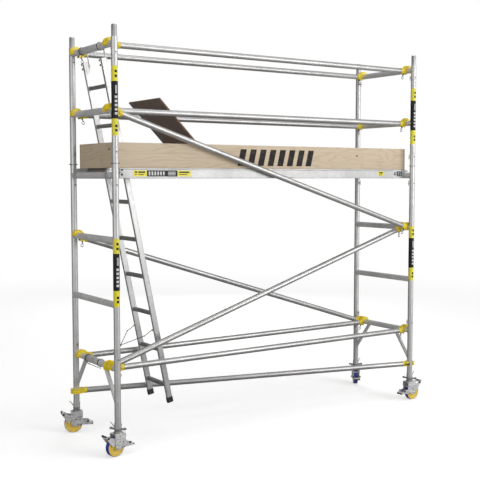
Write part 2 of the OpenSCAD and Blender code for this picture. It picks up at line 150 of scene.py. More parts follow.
class Nodes:
    """Short ways to add nodes to a tree."""

    def __init__(self, tree):
        self.tree = tree

    def add(self, kind, inputs=(), **settings):
        node = self.tree.nodes.new("ShaderNode" + kind)
        for key, value in settings.items():
            setattr(node, key, value)
        for socket, value in dict(inputs).items():
            self.put(node.inputs[socket], value)
        return node

    def put(self, socket, value):
        if isinstance(value, bpy.types.NodeSocket):
            self.tree.links.new(value, socket)
        else:
            socket.default_value = value

    def math(self, operation, a, b=0.0, clamp=False):
        node = self.add("Math", operation=operation, use_clamp=clamp)
        self.put(node.inputs[0], a)
        self.put(node.inputs[1], b)
        return node.outputs[0]

    def glow(self, strength):
        return self.add("Emission", {"Color": (1, 1, 1, 1), "Strength": strength}).outputs[0]


class Shader(Nodes):
    """A node material: a Principled shader, and what feeds it."""

    def __init__(self, name, **painted_slot_shade):
        self.mat = bpy.data.materials.new(name)
        self.mat.use_nodes = True
        super().__init__(self.mat.node_tree)
        self.bsdf = self.tree.nodes["Principled BSDF"]
        self.normal = None
        for socket, value in painted_slot_shade.items():
            self.bsdf.inputs[socket.replace("_", " ")].default_value = value

    def coords(self, scale=(1, 1, 1), rotation=(0, 0, 0), shift=(0, 0, 0)):
        place = self.add("TexCoord").outputs["Object"]
        turned = self.add("Mapping", {"Vector": place, "Rotation": rotation, "Location": shift})
        return self.add("Mapping", {"Vector": turned.outputs[0], "Scale": scale}).outputs[0]

    def noise(self, vector, scale=1.0, detail=3.0, rough=0.5, distortion=0.0):
        return self.add("TexNoise", {"Vector": vector, "Scale": scale, "Detail": detail,
                                     "Roughness": rough, "Distortion": distortion}).outputs["Fac"]

    def speckle(self, *settings):
        """Noise that is the same size every way."""
        return self.noise(self.coords(), *settings)

    def ramp(self, value, *stops):
        """stops are (position, grey or colour)."""
        node = self.add("ValToRGB", {"Fac": value})
        band = node.color_ramp
        while len(band.elements) < len(stops):
            band.elements.new(0.5)
        for element, (position, tone) in zip(band.elements, stops):
            element.position = position
            element.color = (*tone, 1) if hasattr(tone, "__len__") else (tone, tone, tone, 1)
        return node.outputs["Color"]

    def mix(self, a, b, share=0.5, blend="MIX"):
        node = self.add("Mix", data_type="RGBA", blend_type=blend)
        self.put(node.inputs["Factor"], share)
        for socket, value in ((node.inputs[6], a), (node.inputs[7], b)):
            self.put(socket, value if isinstance(value, bpy.types.NodeSocket) else (*value, 1))
        return node.outputs[2]

    def spread(self, value, low, high):
        """value, 0 to 1, mapped to low to high."""
        return self.add("MapRange", {"Value": value, "To Min": low, "To Max": high}).outputs[0]

    def bump(self, height, distance, strength=1.0):
        node = self.add("Bump", {"Height": height, "Distance": distance, "Strength": strength})
        if self.normal is not None:
            self.tree.links.new(self.normal, node.inputs["Normal"])
        self.normal = node.outputs[0]

    def done(self, colour=None, rough=None):
        if colour is not None:
            self.put(self.bsdf.inputs["Base Color"], colour)
        if rough is not None:
            self.put(self.bsdf.inputs["Roughness"], rough)
        if self.normal is not None:
            self.tree.links.new(self.normal, self.bsdf.inputs["Normal"])
        return self.mat


def grey(value, warm=0.0):
    return (value * (1 + warm), value, value * (1 - warm))


def extruded(name, tone, rough, scale, rotation=(0, 0, 0), metallic=0.9, dull=0.12):
    """Aluminium with die lines: scale is small along the tube and large across it."""
    s = Shader(name, Metallic=metallic)
    lines = s.noise(s.coords(scale, rotation), 1.0, 3, 0.6)
    patches = s.speckle(5.0, 6, 0.62, 0.3)
    smears = s.noise(s.coords((26, 26, 9)), 1.0, 4, 0.7, 0.8)
    mottle = s.speckle(75, 5, 0.7, 0.4)
    nicks = s.ramp(s.speckle(320, 2, 0.4), (0.70, 0.0), (0.76, 1.0))
    cloud = s.ramp(patches, (0.34, 0.0), (0.66, 1.0))
    base = s.mix(grey(tone * (1 - dull), 0.002), grey(tone * 1.05, 0.010), cloud)
    base = s.mix(base, s.ramp(lines, (0.25, 0.80), (0.75, 1.0)), 0.55, "MULTIPLY")
    base = s.mix(base, s.ramp(mottle, (0.36, 0.80), (0.60, 1.0)), 0.7, "MULTIPLY")
    base = s.mix(base, grey(tone * 0.55), s.math("MULTIPLY", nicks, 0.35))
    wear = s.math("ADD", s.spread(smears, -0.10, 0.13), s.spread(lines, rough - 0.04, rough + 0.05))
    s.bump(lines, 0.00012, 0.35)
    s.bump(nicks, 0.0001, 0.4)
    return s.done(base, wear)


def cast(name, tone, rough, metallic, grain=0.0005, wear=None, coat=0.0, shade=0.74):
    """A casting: sand grain, uneven tone and rubbed high spots."""
    s = Shader(name, Metallic=metallic, Coat_Weight=coat, Coat_Roughness=0.25)
    sand = s.speckle(700, 4, 0.6)
    patches = s.speckle(30, 5, 0.6, 0.4)
    tone = tone if hasattr(tone, "__len__") else grey(tone)
    dark = tuple(c * shade for c in tone)
    base = s.mix(dark, tone, s.ramp(patches, (0.30, 0.0), (0.62, 1.0)))
    if wear:
        chips = s.ramp(s.speckle(95, 6, 0.72), (0.66, 0.0), (0.70, 1.0))
        base = s.mix(base, wear, s.math("MULTIPLY", chips, 0.75))
    s.bump(sand, grain, 0.5)
    s.bump(patches, 0.0006, 0.3)
    return s.done(base, s.spread(patches, rough - 0.08, rough + 0.10))


def zinc(name, tone, rough=0.36, metallic=0.85):
    """Zinc plate with a faint spangle and duller blooms."""
    s = Shader(name, Metallic=metallic)
    cells = s.add("TexVoronoi", {"Vector": s.coords(), "Scale": 210}).outputs["Color"]
    spangle = s.add("SeparateColor", {"Color": cells}).outputs[0]
    bloom = s.speckle(42, 6, 0.65, 0.5)
    stain = s.ramp(s.speckle(130, 4, 0.7), (0.58, 0.0), (0.72, 1.0))
    base = s.mix(grey(tone * 0.72, 0.01), grey(tone * 1.06, 0.004), s.ramp(bloom, (0.40, 0.0), (0.60, 1.0)))
    base = s.mix(base, grey(tone * 1.15), s.math("MULTIPLY", spangle, 0.22))
    base = s.mix(base, grey(tone * 0.45, 0.02), s.math("MULTIPLY", stain, 0.45))
    s.bump(s.speckle(900, 2), 0.00008, 0.5)
    roughness = s.math("ADD", s.spread(bloom, rough - 0.06, rough + 0.14), s.spread(spangle, -0.04, 0.04))
    return s.done(base, roughness)


def wood(name, length_axis, light, dark, shift=0.0, knots=()):
    """Planed softwood: long grain with drifting rings, and a knot at each (place, radius)."""
    s = Shader(name)
    stretch = [7.0, 7.0, 7.0]
    stretch[length_axis] = 0.9
    drift = s.noise(s.coords(tuple(v * 0.5 for v in stretch), shift=(shift, shift, 0)), 1.6, 3, 0.5, 0.2)
    field = s.math("MULTIPLY", drift, 34.0)
    heart = None
    for place, radius in knots:
        across = [1.0 / radius] * 3
        across[length_axis] = 0.55 / radius
        centred = s.coords(tuple(across), shift=-(Vector(place) + MIDDLE))
        away = s.add("VectorMath", {0: centred}, operation="LENGTH")
        near = s.math("POWER", 2.0, s.math("MULTIPLY", away.outputs["Value"], -0.8))
        field = s.math("ADD", field, s.math("MULTIPLY", near, 5.0))
        spot = s.ramp(away.outputs["Value"], (0.55, 1.0), (1.0, 0.0))
        heart = spot if heart is None else s.math("MAXIMUM", heart, spot)
    rings = s.math("PINGPONG", field, 1.0)
    fine = [260.0, 260.0, 260.0]
    fine[length_axis] = 7.0
    fibres = s.noise(s.coords(tuple(fine), shift=(shift, 0, shift)), 1.0, 4, 0.65)
    base = s.mix(dark, light, s.ramp(rings, (0.0, 0.25), (0.5, 1.0)))
    base = s.mix(base, s.ramp(fibres, (0.25, 0.84), (0.70, 1.0)), 0.6, "MULTIPLY")
    tint = s.noise(s.coords(tuple(stretch), shift=(shift, 2, 1)), 0.5, 2)
    base = s.mix(base, s.ramp(tint, (0.3, (0.93, 0.89, 0.83)), (0.7, (1.0, 1.0, 1.0))), 0.6, "MULTIPLY")
    if heart is not None:
        base = s.mix(base, (0.12, 0.065, 0.030), s.math("MULTIPLY", heart, 0.85))
    s.bump(fibres, 0.0003, 0.4)
    s.bump(rings, 0.0003, 0.25)
    return s.done(base, s.spread(fibres, 0.50, 0.68))


def end_grain(name):
    """A board's sawn end: growth rings as arcs across the end."""
    s = Shader(name)
    distance = s.add("VectorMath", {0: s.coords((0, 1, 0.42), shift=(0, 0, -2.10))}, operation="LENGTH")
    rings = s.math("PINGPONG", s.math("MULTIPLY", distance.outputs["Value"], 260.0), 1.0)
    rough = s.speckle(420, 4, 0.7)
    base = s.mix((0.36, 0.25, 0.145), (0.54, 0.42, 0.27), s.ramp(rings, (0.0, 0.2), (0.7, 1.0)))
    base = s.mix(base, s.ramp(rough, (0.2, 0.7), (0.7, 1.0)), 0.6, "MULTIPLY")
    s.bump(rough, 0.0004, 0.5)
    return s.done(base, s.spread(rough, 0.70, 0.85))


def film_ply(name, tone, rotation=(0, 0, 0)):
    """Brown phenolic film with a pressed wire-mesh grip whose grooves are darkened as painted shade, a little
    scuffed.
    """
    s = Shader(name)
    place = s.coords((1, 1, 1), rotation)
    axes = s.add("SeparateXYZ", {"Vector": place})
    u = s.math("MULTIPLY", s.math("ADD", axes.outputs[0], axes.outputs[1]), 760.0)
    v = s.math("MULTIPLY", s.math("SUBTRACT", axes.outputs[0], axes.outputs[1]), 760.0)
    mesh = s.math("MULTIPLY", s.math("ABSOLUTE", s.math("SINE", u)), s.math("ABSOLUTE", s.math("SINE", v)))
    streak = s.noise(s.coords((2.5, 40, 40), rotation), 1.0, 5, 0.65, 0.5)
    scuff = s.ramp(s.noise(s.coords((9, 30, 9), rotation), 1.0, 6, 0.7, 1.2), (0.55, 0.0), (0.72, 1.0))
    red = (1.20, 0.86, 0.74)
    dark, light = (tuple(c * tone * depth for c in red) for depth in (0.72, 1.18))
    base = s.mix(dark, light, s.ramp(streak, (0.3, 0.0), (0.7, 1.0)))
    # the mesh's pressed grooves are darkened in colour: painted shade
    base = s.mix(base, s.ramp(mesh, (0.08, 0.72), (0.30, 1.0)), 0.8, "MULTIPLY")
    base = s.mix(base, grey(tone * 1.7, 0.12), s.math("MULTIPLY", scuff, 0.30))
    s.bump(s.ramp(mesh, (0.10, 0.0), (0.35, 1.0)), 0.0004, 0.5)
    s.bump(streak, 0.0004, 0.3)
    return s.done(base, s.spread(streak, 0.38, 0.58))


def ply_edge(name):
    """Birch plywood's cut edge: reddish, with its plies as lines."""
    s = Shader(name)
    layers = s.noise(s.coords((6, 6, 900), (0, -HATCH_OPEN, 0)), 1.0, 2, 0.4)
    spots = s.speckle(60, 5, 0.6)
    base = s.mix((0.13, 0.055, 0.034), (0.30, 0.15, 0.085), s.ramp(layers, (0.38, 0.0), (0.60, 1.0)))
    base = s.mix(base, (0.10, 0.05, 0.035), s.ramp(spots, (0.55, 0.0), (0.75, 0.8)))
    s.bump(layers, 0.0004, 0.5)
    return s.done(base, s.spread(spots, 0.55, 0.75))


def plastic(name, tone, rough, grain=0.00015, dust=None, coat=0.0, shine=0.5):
    """Moulded plastic or rubber: fine grain, slight mottling and a dry bloom of dust."""
    s = Shader(name, Specular_IOR_Level=shine, Coat_Weight=coat, Coat_Roughness=0.2)
    mottle = s.speckle(55, 5, 0.6, 0.2)
    grit = s.speckle(1100, 2)
    bloom = s.ramp(s.speckle(20, 6, 0.7, 0.6), (0.48, 0.0), (0.78, 1.0))
    base = s.mix(tuple(c * 0.78 for c in tone), tone, s.ramp(mottle, (0.3, 0.0), (0.65, 1.0)))
    if dust:
        base = s.mix(base, dust, s.math("MULTIPLY", bloom, 0.28))
    s.bump(grit, grain, 0.5)
    return s.done(base, s.spread(mottle, rough - 0.07, rough + 0.09))


AXIS_LINES = {"X": (4, 900, 900), "Y": (900, 4, 900), "Z": (900, 900, 4)}
materials = {
    "post": extruded("post_aluminium", 0.73, 0.44, AXIS_LINES["Z"], metallic=0.82),
    "rail": extruded("rail_aluminium", 0.59, 0.40, AXIS_LINES["X"]),
    "diagonal": extruded("diagonal_aluminium", 0.60, 0.40, (500, 500, 500)),
    # the rungs and knee braces get a lighter tone than the posts to offset the shade they stand in: painted
    # light
    "rung": extruded("rung_aluminium_painted_light", 0.90, 0.52, AXIS_LINES["Y"], metallic=0.55, dull=0.16),
    "beam": extruded("beam_aluminium", 0.47, 0.44, AXIS_LINES["X"]),
    "spigot": extruded("spigot_aluminium", 0.74, 0.28, AXIS_LINES["Z"]),
    "stile": extruded("stile_aluminium", 0.62, 0.38, AXIS_LINES["Z"], (0, LEAN, 0)),
    "ladder_rung": extruded("ladder_rung_aluminium", 0.42, 0.42, AXIS_LINES["Y"], dull=0.2),
    "claw": cast("claw_yellow", (0.95, 0.74, 0.022), 0.38, 0.0, 0.0003, (0.50, 0.45, 0.30),
                 coat=0.25, shade=0.86),
    "trigger": plastic("trigger_black", (0.028, 0.028, 0.030), 0.48, dust=(0.20, 0.19, 0.17)),
    "pin": zinc("pin_zinc", 0.21, 0.38),
    "hook": cast("hook_casting", 0.60, 0.48, 0.70, 0.0006, (0.72, 0.72, 0.72)),
    "hinge": zinc("hinge_zinc", 0.55),
    "fitting": zinc("fitting_zinc", 0.80, 0.42, 0.60),
    "rubber": plastic("black_rubber", (0.020, 0.020, 0.021), 0.66, 0.0002, dust=(0.22, 0.21, 0.20)),
    "zinc": zinc("castor_zinc", 0.86, 0.44),
    "wire": zinc("ring_wire", 0.14, 0.42),
    "dark_zinc": zinc("stem_zinc", 0.46, 0.42),
    "tyre": plastic("tyre_blue", (0.026, 0.060, 0.42), 0.46, 0.0002, dust=(0.24, 0.26, 0.34)),
    "hub": plastic("hub_yellow", (1.0, 0.71, 0.11), 0.34, 0.0001, dust=(0.62, 0.50, 0.26), coat=0.2),
    "nut": cast("nut_iron", 0.36, 0.48, 0.7, 0.0004, (0.55, 0.54, 0.52)),
    "film_deck": film_ply("deck_film", 0.115),
    "film_hatch": film_ply("hatch_film", 0.180, (0, -HATCH_OPEN, 0)),
    "ply_edge": ply_edge("ply_edge"),
    "board_x": wood("board_long", 0, (0.68, 0.56, 0.41), (0.56, 0.445, 0.305), 0.0,
                    [((0.939, -0.312, 2.362), 0.010), ((-0.62, 0.312, 2.31), 0.012),
                     ((0.30, 0.290, 2.40), 0.009)]),
    "board_y": wood("board_end", 1, (0.66, 0.54, 0.39), (0.54, 0.425, 0.29), 3.7,
                    [((-1.550, -0.238, 2.385), 0.012), ((1.550, 0.11, 2.30), 0.010)]),
    "end_grain": end_grain("board_ends"),
    "weld": cast("weld_bead", 0.62, 0.40, 0.9, 0.0002),
    "label_yellow": plastic("label_yellow", (0.92, 0.83, 0.035), 0.36, dust=(0.6, 0.57, 0.30)),
    "label_black": plastic("label_black", (0.013, 0.013, 0.015), 0.42, dust=(0.09, 0.09, 0.09), shine=0.22),
    "label_white": plastic("label_white", (0.74, 0.74, 0.74), 0.40, dust=(0.5, 0.5, 0.48)),
    "paint_black": plastic("stencil_black", (0.016, 0.015, 0.014), 0.66, dust=(0.24, 0.19, 0.13), shine=0.25),
}


# ---- mesh tools ----

class Shape:
    """Gathers points and faces, then becomes one piece."""

    def __init__(self):
        self.points = []
        self.faces = []

    def add(self, points, faces, place=HERE):
        start = len(self.points)
        self.points += [place @ Vector(p) for p in points]
        self.faces += [[start + i for i in f] for f in faces]

    def rings(self, rings, closed=False, caps=True, place=HERE):
        """Skins rings of equal length; closed joins the last ring to the first."""
        sides = len(rings[0])
        count = len(rings)
        faces = []
        for i in range(count if closed else count - 1):
            a, b = i * sides, (i + 1) % count * sides
            faces += [[a + k, a + (k + 1) % sides, b + (k + 1) % sides, b + k] for k in range(sides)]
        if caps and not closed:
            faces += [list(range(sides))[::-1], list(range((count - 1) * sides, count * sides))]
        self.add([p for ring in rings for p in ring], faces, place)

    def sweep(self, path, radius, sides=10, closed=False, place=HERE):
        """A round wire along path; radius is a number or a function of the point's index."""
        path = [Vector(p) for p in path]
        count = len(path)
        rings = []
        side = None
        for i, point in enumerate(path):
            ahead = path[(i + 1) % count] if closed or i < count - 1 else point
            behind = path[i - 1] if closed or i else point
            along = (ahead - behind).normalized()
            if side is None:
                side = along.orthogonal().normalized()
            side = (side - along * side.dot(along)).normalized()
            up = along.cross(side)
            r = radius(i) if callable(radius) else radius
            rings.append([point + (side * cos(t) + up * sin(t)) * r
                          for t in full_turn(sides)])
        self.rings(rings, closed, place=place)

    def lathe(self, profile, sides=48, place=HERE, closed=False):
        """Turns (radius, height) points about Z; closed joins the profile's ends into a ring."""
        rings = [[(r * cos(t), r * sin(t), z) for t in full_turn(sides)] for r, z in profile]
        self.rings(rings, closed, place=place)

    def prism(self, outline, low, high, place=HERE):
        """An outline in X and Y, from z low to z high."""
        self.rings([[(x, y, z) for x, y in outline] for z in (low, high)], place=place)

    def box(self, low, high, place=HERE):
        self.prism([(low[0], low[1]), (high[0], low[1]), (high[0], high[1]), (low[0], high[1])],
                   low[2], high[2], place)

    def dome(self, radius, height, place=HERE, sides=20):
        """A rivet head standing on z = 0."""
        steps = 4
        profile = [(radius * cos(a), height * sin(a))
                   for a in (pi / 2 * i / steps for i in range(steps))]
        self.lathe([(radius, -0.0006), *profile, (radius * 0.12, height)], sides, place)

    def piece(self, name, body, material, bevel=0.0, sharp=38):
        """Makes the mesh object; sharp is the angle in degrees above which an edge stays crisp."""
        mesh = bpy.data.meshes.new(name)
        mesh.from_pydata([tuple(Vector(p) + MIDDLE) for p in self.points], [], self.faces)
        made = bmesh.new()
        made.from_mesh(mesh)
        bmesh.ops.recalc_face_normals(made, faces=made.faces)
        made.to_mesh(mesh)
        made.free()
        mesh.shade_smooth()
        mesh.set_sharp_from_angle(angle=radians(sharp))
        mesh.materials.append(materials[material])
        obj = bpy.data.objects.new(name, mesh)
        bpy.context.scene.collection.objects.link(obj)
        if bevel:
            soften(obj, bevel)
        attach(obj, body)
        return obj


def soften(obj, width):
    cut = obj.modifiers.new("edges", "BEVEL")
    cut.width = width
    cut.segments = 2
    cut.limit_method = "ANGLE"
    cut.angle_limit = radians(35)
    cut.use_clamp_overlap = True
    cut.harden_normals = True


def arc(centre, radius, start, end, steps):
    """Points on an arc, in degrees."""
    return [(centre[0] + radius * cos(t), centre[1] + radius * sin(t))
            for t in (radians(start + (end - start) * i / steps) for i in range(steps + 1))]


def round_rect(low, high, radius, steps):
    """A rectangle with rounded corners; low and high are the middles of opposite corners' arcs."""
    corners = ((high[0], low[1]), high, (low[0], high[1]), low)
    return [point for k, centre in enumerate(corners)
            for point in arc(centre, radius, 90 * k - 90, 90 * k, steps)]


# ---- the CAD nodes that stay ----

def finish_node(name, material, bevel=0.0):
    """Gives a CAD node its material and, where it is a casting or pressing, soft edges."""
    obj = nodes[name]
    obj.data.materials.clear()
    obj.data.materials.append(materials[material])
    if bevel:
        weld = obj.modifiers.new("weld", "WELD")
        weld.merge_threshold = 1e-5
        flat = obj.modifiers.new("flats", "DECIMATE")
        flat.decimate_type = "DISSOLVE"
        flat.angle_limit = radians(0.6)
        soften(obj, bevel)


# Each CAD node's material, and the width its edges are rounded to
KEPT = {
    "standards": ("post", 0), "spigots": ("spigot", 0.0006), "knee_braces": ("rung", 0),
    "frame_rungs": ("rung", 0), "lock_pins": ("pin", 0.0006),
    "horizontal_rails": ("rail", 0), "diagonal_braces": ("diagonal", 0), "brace_claws": ("claw", 0.0018),
    "platform_beams": ("beam", 0.0008), "platform_hooks": ("hook", 0.0018),
    "deck_panels": ("film_deck", 0.0008),
    "hatch_hinges": ("hinge", 0.0006), "hatch": ("film_hatch", 0.0008),
    "ladder_stiles": ("stile", 0.0012), "ladder_rungs": ("ladder_rung", 0),
    "ladder_fittings": ("fitting", 0.0006), "ladder_rubbers": ("rubber", 0.0012),
    "ladder_stay": ("wire", 0), "castor_stems": ("dark_zinc", 0.0006),
}
for name, (material, bevel) in KEPT.items():
    finish_node(name, material, bevel)
for name in nodes:
    if name.startswith("trigger_"):
        finish_node(name, "trigger", 0.0009)
for corner in CORNERS:
    finish_node("fork_" + corner, "zinc", 0.0010)
    finish_node("brake_" + corner, "zinc", 0.0008)
    finish_node("tyre_" + corner, "tyre", 0.0006)
    finish_node("hub_" + corner, "hub", 0.0008)
    finish_node("leg_nut_" + corner, "nut", 0.0020)


# ---- welds where tubes meet ----

BEAD_STEPS = 72


def saddle(side):
    """Where a tube along Y meets a post of the same radius; side is the way the post lies."""
    radius = POST_R * 1.012
    return [Vector((radius * sin(t), -side * abs(radius * cos(t)), radius * cos(t)))
            for t in full_turn(BEAD_STEPS)]


def beads(count, radius, swell):
    """Radii of a weld bead with its overlapping ripples."""
    sizes = [radius + swell * abs(sin(i * 2.1 + rng.random() * 0.5)) for i in range(count)]
    return lambda i: sizes[i]


def rung_welds():
    """A bead at both ends of every frame rung."""
    shape = Shape()
    for x in (-HALF_L, HALF_L):
        for z in RUNG_ZS:
            for side in (-1, 1):
                shape.sweep(saddle(side), beads(BEAD_STEPS, 0.0022, 0.0006), 8, True,
                            move(x, side * HALF_W, z))
    shape.piece("rung_welds", "tower", "weld")


def knee_welds():
    """Beads round both ends of the knee braces."""
    shape = Shape()
    knee_r, knee_y, knee_z = 0.017, 0.172, 0.392
    steps = 48
    for x in (-HALF_L, HALF_L):
        for side in (-1, 1):
            top = Vector((x, side * knee_y, BASE_Z))
            foot = Vector((x, side * HALF_W, knee_z))
            along = (foot - top).normalized()
            across = Vector((1, 0, 0))
            up = along.cross(across)
            for is_top in (True, False):
                ring = []
                for t in full_turn(steps):
                    start = top + across * knee_r * cos(t) + up * knee_r * sin(t)
                    reach = sqrt(POST_R ** 2 - (knee_r * cos(t)) ** 2)
                    if is_top:
                        ring.append(start + along * ((BASE_Z - reach - start.z) / along.z))
                    else:
                        y = side * (HALF_W - reach)
                        ring.append(start + along * ((y - start.y) / along.y))
                shape.sweep(ring, beads(steps, 0.0020, 0.0005), 8, True)
    shape.piece("knee_welds", "tower", "weld")


# ---- printed bands, with plain marks in place of words ----

# How far a film, and the print on it, stand off the metal
FILM, INK = 0.0003, 0.0005


def label_pieces(place, yellow, black, white, dark):
    yellow.piece(place + "_labels_yellow", "tower", "label_yellow")
    black.piece(place + "_labels_black", "tower", "label_black")
    white.piece(place + "_label_marks", "tower", "label_white")
    dark.piece(place + "_label_bars", "tower", "label_black")


def round_patch(shape, corner, low, high, centre, spread, lift):
    """A film round a post, from height low to high, spread degrees wide about centre."""
    x, y = posts[corner]
    angles = [radians(centre - spread / 2 + spread * i / 40) for i in range(41)]

    def around(radius, z):
        return [(x + radius * cos(a), y + radius * sin(a), z) for a in angles]

    shape.rings([around(POST_R + lift, z) + around(POST_R * 0.999, z)[::-1] for z in (low, high)])


def post_labels():
    """Yellow, black and yellow bands on the near posts, with bars for print."""
    yellow, black, white, dark = (Shape() for _ in range(4))
    front, band = 270, 230
    for corner in ("nl", "nr"):
        for low, split_low, split_high, high in ((1.169, 1.295, 1.581, 1.695), (2.482, 2.610, 2.892, 3.007)):
            round_patch(yellow, corner, low, split_low, front, band, FILM)
            round_patch(black, corner, split_low, split_high, front, band, FILM)
            round_patch(yellow, corner, split_high, high, front, band, FILM)
            for i in range(5):
                z = split_low + 0.030 + i * 0.031
                round_patch(white, corner, z, z + 0.018, front, 52, INK)
            for centre in (262, 280):
                round_patch(white, corner, split_high - 0.092, split_high - 0.030, centre, 12, INK)
            for z in (low + 0.030, low + 0.062, split_high + 0.028, split_high + 0.064):
                round_patch(dark, corner, z, z + 0.020, front, 46, INK)
    label_pieces("post", yellow, black, white, dark)


BEAM_FACE = node_box("platform_beams")[0].y


def face_patch(shape, low_x, high_x, low_z, high_z, lift):
    """A film on the near beam's outer face."""
    shape.box((low_x, BEAM_FACE - lift, low_z), (high_x, BEAM_FACE + 0.0002, high_z))


def beam_labels():
    """A long label at the ladder end of the near beam and a small one at the far end."""
    yellow, black, white, dark = (Shape() for _ in range(4))
    low, high = 2.172, 2.220
    face_patch(yellow, -1.383, -1.260, low, high, FILM)
    face_patch(black, -1.260, -0.982, low, high, FILM)
    face_patch(yellow, -0.982, -0.856, low, high, FILM)
    face_patch(yellow, 1.203, 1.280, 2.179, 2.221, FILM)
    for i in range(6):
        x = -1.245 + i * 0.026
        face_patch(white, x, x + 0.015, 2.181, 2.211, INK)
    for z in (2.182, 2.193, 2.204):
        face_patch(white, -1.070, -1.000, z, z + 0.006, INK)
    for x, wide in ((-1.368, 0.022), (-1.336, 0.060), (-0.966, 0.094), (1.214, 0.050)):
        face_patch(dark, x, x + wide, 2.200, 2.212, INK)
        face_patch(dark, x, x + wide * 0.8, 2.184, 2.190, INK)
    label_pieces("beam", yellow, black, white, dark)


# ---- platform ----

def board(shape, ends, along, low, high):
    """A toe board with rounded corners, hardly out of true, and its two sawn ends."""
    across = 1 - along
    thick, tall = high[across] - low[across], high[2] - low[2]
    corner = 0.0035
    outline = round_rect((corner, corner), (thick - corner, tall - corner), corner, 4)
    stations = 40
    phase = rng.random() * 6
    rings = []
    for i in range(stations + 1):
        t = low[along] + (high[along] - low[along]) * i / stations
        ring = []
        for a, z in outline:
            point = [0.0, 0.0, low[2] + z]
            wave = 0.0004 * sin(i * 0.7 + phase + z * 9) if 0 < i < stations else 0
            edge = 1 if a > thick / 2 else -1
            point[along] = t
            point[across] = low[across] + a - edge * abs(wave)
            ring.append(tuple(point))
        rings.append(ring)
    shape.rings(rings, caps=False)
    for ring in (rings[0], rings[-1]):
        ends.add(ring, [list(range(len(ring)))])


def toe_boards():
    """Two long boards and two end boards, with slanted bars painted on the near one."""
    low, high = node_box("toe_boards")
    thick, gap = 0.022, 0.0005
    sides, ends, sawn = Shape(), Shape(), Shape()
    for y in (low.y, high.y - thick):
        board(sides, sawn, 0, (low.x, y, low.z), (high.x, y + thick, high.z))
    for x in (low.x, high.x - thick):
        board(ends, sawn, 1, (x, low.y + thick + gap, low.z), (x + thick, high.y - thick - gap, high.z))
    long_boards = sides.piece("toe_boards_long", "tower", "board_x", sharp=60)
    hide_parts("toe_boards")
    ends.piece("toe_boards_end", "tower", "board_y", sharp=60)
    sawn.piece("toe_board_sawn_ends", "tower", "end_grain")
    stencil = Shape()
    wide, slant, foot, head = 0.062, 0.034, 2.262, 2.402
    for i in range(8):
        left = -0.395 + i * 0.104
        bar = [(left, foot), (left + wide, foot), (left + wide + slant, head), (left + slant, head)]
        stencil.prism(bar, -low.y - 0.0002, -low.y + 0.0002, facing(-1))
    stencil.piece("toe_board_stripes", "tower", "paint_black")


def platform_details():
    """Rolled lips and rivets on the beams, deck screws, and the bolts at the beams' ends."""
    low, high = node_box("platform_beams")
    lips, out = Shape(), 0.0016
    for side in (-1, 1):
        face = side * abs(low.y)
        for bottom, top in ((high.z - 0.013, high.z), (low.z, low.z + 0.009)):
            profile = [(-0.002, bottom), (out * 0.4, bottom), (out, bottom + 0.002), (out, top - 0.002),
                       (out * 0.4, top), (-0.002, top)]
            lips.rings([[(x, face + side * y, z) for y, z in profile] for x in (low.x, high.x)])
    lips.piece("beam_lips", "tower", "beam")
    screws = Shape()
    deck_high = node_box("deck_panels")[1]
    for side in (-1, 1):
        for i in range(9):
            x = HINGE.x + 0.06 + i * (deck_high.x - HINGE.x - 0.12) / 8
            screws.dome(0.0045, 0.0012, move(x, side * (deck_high.y - 0.022), DECK_Z))
        for i in range(12):
            x = low.x + 0.08 + i * (high.x - low.x - 0.16) / 11
            screws.dome(0.0042, 0.0018, move(x, side * (abs(low.y) - 0.0225), DECK_Z))
    screws.piece("deck_rivets", "tower", "hinge")
    bolts, painted_slot_shade = Shape(), Shape()
    x, z, spacing = -1.492, 2.205, 0.0225
    for side in (-1, 1):
        y, out = side * abs(low.y), facing(side)
        bolts.lathe([(0.010, 0), (0.010, 0.002), (0.0072, 0.0045), (0.001, 0.0055)], 24, move(x, y, z) @ out)
        # three black domes round the bolt: painted shade in the casting at the beam's end
        for angle in (55, 180, 305):
            a = radians(angle)
            spot = move(x + spacing * cos(a), y, z + spacing * sin(a))
            painted_slot_shade.dome(0.0092, 0.0022, spot @ out)
    bolts.piece("beam_end_bolts", "tower", "hinge")
    painted_slot_shade.piece("beam_end_painted_slot_shade", "tower", "rubber")


def hook_castings():
    """Painted shade in the pockets of the hook castings and round the bolts, ribs on the lands between them,
    and a bolt.
    """
    face = abs(node_box("platform_hooks")[0].y)
    painted_pocket_shade, ribs, bolts = Shape(), Shape(), Shape()
    half_pocket, pitch = 0.0078, 0.012
    for end, pockets, depth in ((-1, (0.052,), 0.0), (1, (0.066, 0.090, 0.114), 0.003)):
        for side in (-1, 1):
            # a dark sheet in each pocket: painted shade
            for x in pockets:
                ys = sorted(side * (face - depth + skin) for skin in (-0.0002, 0.0004))
                xs = sorted(end * (HALF_L - x + half) for half in (-half_pocket, half_pocket))
                painted_pocket_shade.box((xs[0], ys[0], RUNG_Z_DECK - 0.0065), (xs[1], ys[1], RUNG_Z_DECK + 0.0405))
            for x in (pockets[0] - pitch, *(x + pitch for x in pockets)):
                line = [(end * (HALF_L - x), side * face, RUNG_Z_DECK + z)
                        for z in (-0.010, -0.007, 0.041, 0.044)]
                ribs.sweep(line, lambda i: 0.0015 if i in (0, 3) else 0.0032, 10)
            if end > 0:
                spot = move(end * (HALF_L - 0.147), side * face, RUNG_Z_DECK + 0.018) @ facing(side)
                # a dark ring round the bolt head: painted shade
                painted_pocket_shade.lathe([(0.0155, 0), (0.0155, 0.0006), (0.0105, 0.0006), (0.0105, 0)], 32, spot, True)
                bolts.lathe([(0.0095, 0), (0.0095, 0.003), (0.0070, 0.0052), (0.001, 0.0056)], 24, spot)
    painted_pocket_shade.piece("hook_pocket_painted_shade", "tower", "rubber")
    ribs.piece("hook_ribs", "tower", "hook")
    bolts.piece("hook_bolts", "tower", "hinge")


